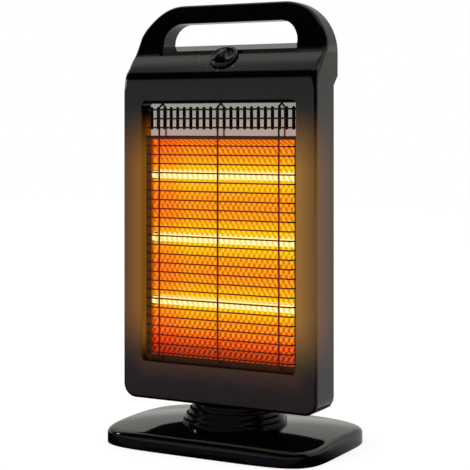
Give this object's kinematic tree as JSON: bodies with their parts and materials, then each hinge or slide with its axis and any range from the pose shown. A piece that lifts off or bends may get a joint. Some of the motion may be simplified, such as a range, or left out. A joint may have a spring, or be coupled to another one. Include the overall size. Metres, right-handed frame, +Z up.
{
  "type": "halogen heater",
  "caption": "Upright swivelling halogen heater: arched carry handle, slanted control panel with a dial, wire guard over lamp tubes in a reflector, ringed neck and flat oval base.",
  "frame": {"origin": "centre of the base, on the floor, which is also the swivel axis", "axes": "+X to the right as seen from the front, +Y to the back, +Z up; the lamps face -Y"},
  "size_m": [0.288, 0.195, 0.5354],
  "materials": {
    "gloss_black": "glossy moulded black, deep piano finish",
    "satin_black": "satin moulded black",
    "dial_black": "semi-gloss moulded black",
    "dark_steel": "black painted sheet steel",
    "zinc_steel": "zinc plated sheet steel",
    "screw_steel": "plated fasteners and shafts",
    "bright_steel": "bright polished sheet",
    "reflector_metal": "dimpled bright sheet, warm from the lamps",
    "guard_black": "black coated wire",
    "dark_rubber": "moulded rubber",
    "nylon": "natural nylon",
    "switch_black": "moulded phenolic",
    "quartz": "clear quartz tube",
    "tungsten": "glowing coil and its support discs",
    "white_ceramic": "unglazed ceramic",
    "blue_lead": "insulated lead",
    "red_lead": "insulated lead",
    "green_lead": "insulated lead",
    "black_lead": "insulated lead"
  },
  "bodies": {
    "base": {"base_cover": "gloss_black", "base_plate": "dark_steel", "rubber_foot_1": "dark_rubber", "rubber_foot_2": "dark_rubber", "rubber_foot_3": "dark_rubber", "rubber_foot_4": "dark_rubber", "base_screws": "screw_steel", "cord_gland": "dark_rubber", "neck_collar": "gloss_black", "slip_washer": "nylon", "pivot_tube": "zinc_steel", "tube_screws": "screw_steel", "retainer_washer": "zinc_steel", "retainer_nut": "zinc_steel", "slotted_arm": "zinc_steel", "tip_switch": "switch_black", "switch_bracket": "zinc_steel", "plunger_spring": "screw_steel", "lead_supply_base": "black_lead"},
    "head": {"turntable": "gloss_black", "swivel_bush": "nylon", "swivel_screws": "screw_steel", "bottom_bracket": "zinc_steel", "motor_bracket": "zinc_steel", "swivel_motor": "zinc_steel", "front_shell": "gloss_black", "rear_shell": "satin_black", "shell_screws": "screw_steel", "guard_grille": "guard_black", "vent_panel": "bright_steel", "reflector": "reflector_metal", "heat_shield": "zinc_steel", "lamp_bracket_left": "zinc_steel", "lamp_bracket_right": "zinc_steel", "lamp_tube_1": "quartz", "lamp_tube_2": "quartz", "lamp_tube_3": "quartz", "filament_1": "tungsten", "filament_2": "tungsten", "filament_3": "tungsten", "lamp_cap_1": "white_ceramic", "lamp_cap_2": "white_ceramic", "lamp_cap_3": "white_ceramic", "lamp_cap_4": "white_ceramic", "lamp_cap_5": "white_ceramic", "lamp_cap_6": "white_ceramic", "thermal_cutout": "zinc_steel", "terminal_block": "nylon", "rotary_switch": "switch_black", "switch_nut": "screw_steel", "lead_switch": "blue_lead", "lead_lamps_left": "red_lead", "lead_lamps_right": "red_lead", "lead_motor": "green_lead", "lead_supply_head": "black_lead"},
    "crank": {"crank_disc": "nylon", "motor_shaft": "screw_steel"},
    "dial": {"knob": "dial_black", "switch_shaft": "nylon"},
    "plunger": {"tip_plunger": "nylon"}
  },
  "joints": [
    {"name": "swivel", "type": "hinge", "parent": "base", "child": "head", "pos_m": [0, 0, 0.05], "axis": [0, 0, 1], "range_deg": [-35, 35]},
    {"name": "crank_turn", "type": "hinge", "parent": "head", "child": "crank", "pos_m": [0.035, 0, 0.0725], "axis": [0, 0, 1], "continuous": true},
    {"name": "dial_turn", "type": "hinge", "parent": "head", "child": "dial", "pos_m": [0, -0.02759, 0.46786], "axis": [0, -0.7071, 0.7071], "range_deg": [-90, 90]},
    {"name": "plunger_press", "type": "slide", "parent": "base", "child": "plunger", "axis": [0, 0, 1], "range_m": [-0.005, 0], "stiffness_N_per_m": 60, "springref_m": -0.012, "deforming": ["plunger_spring"]}
  ]
}
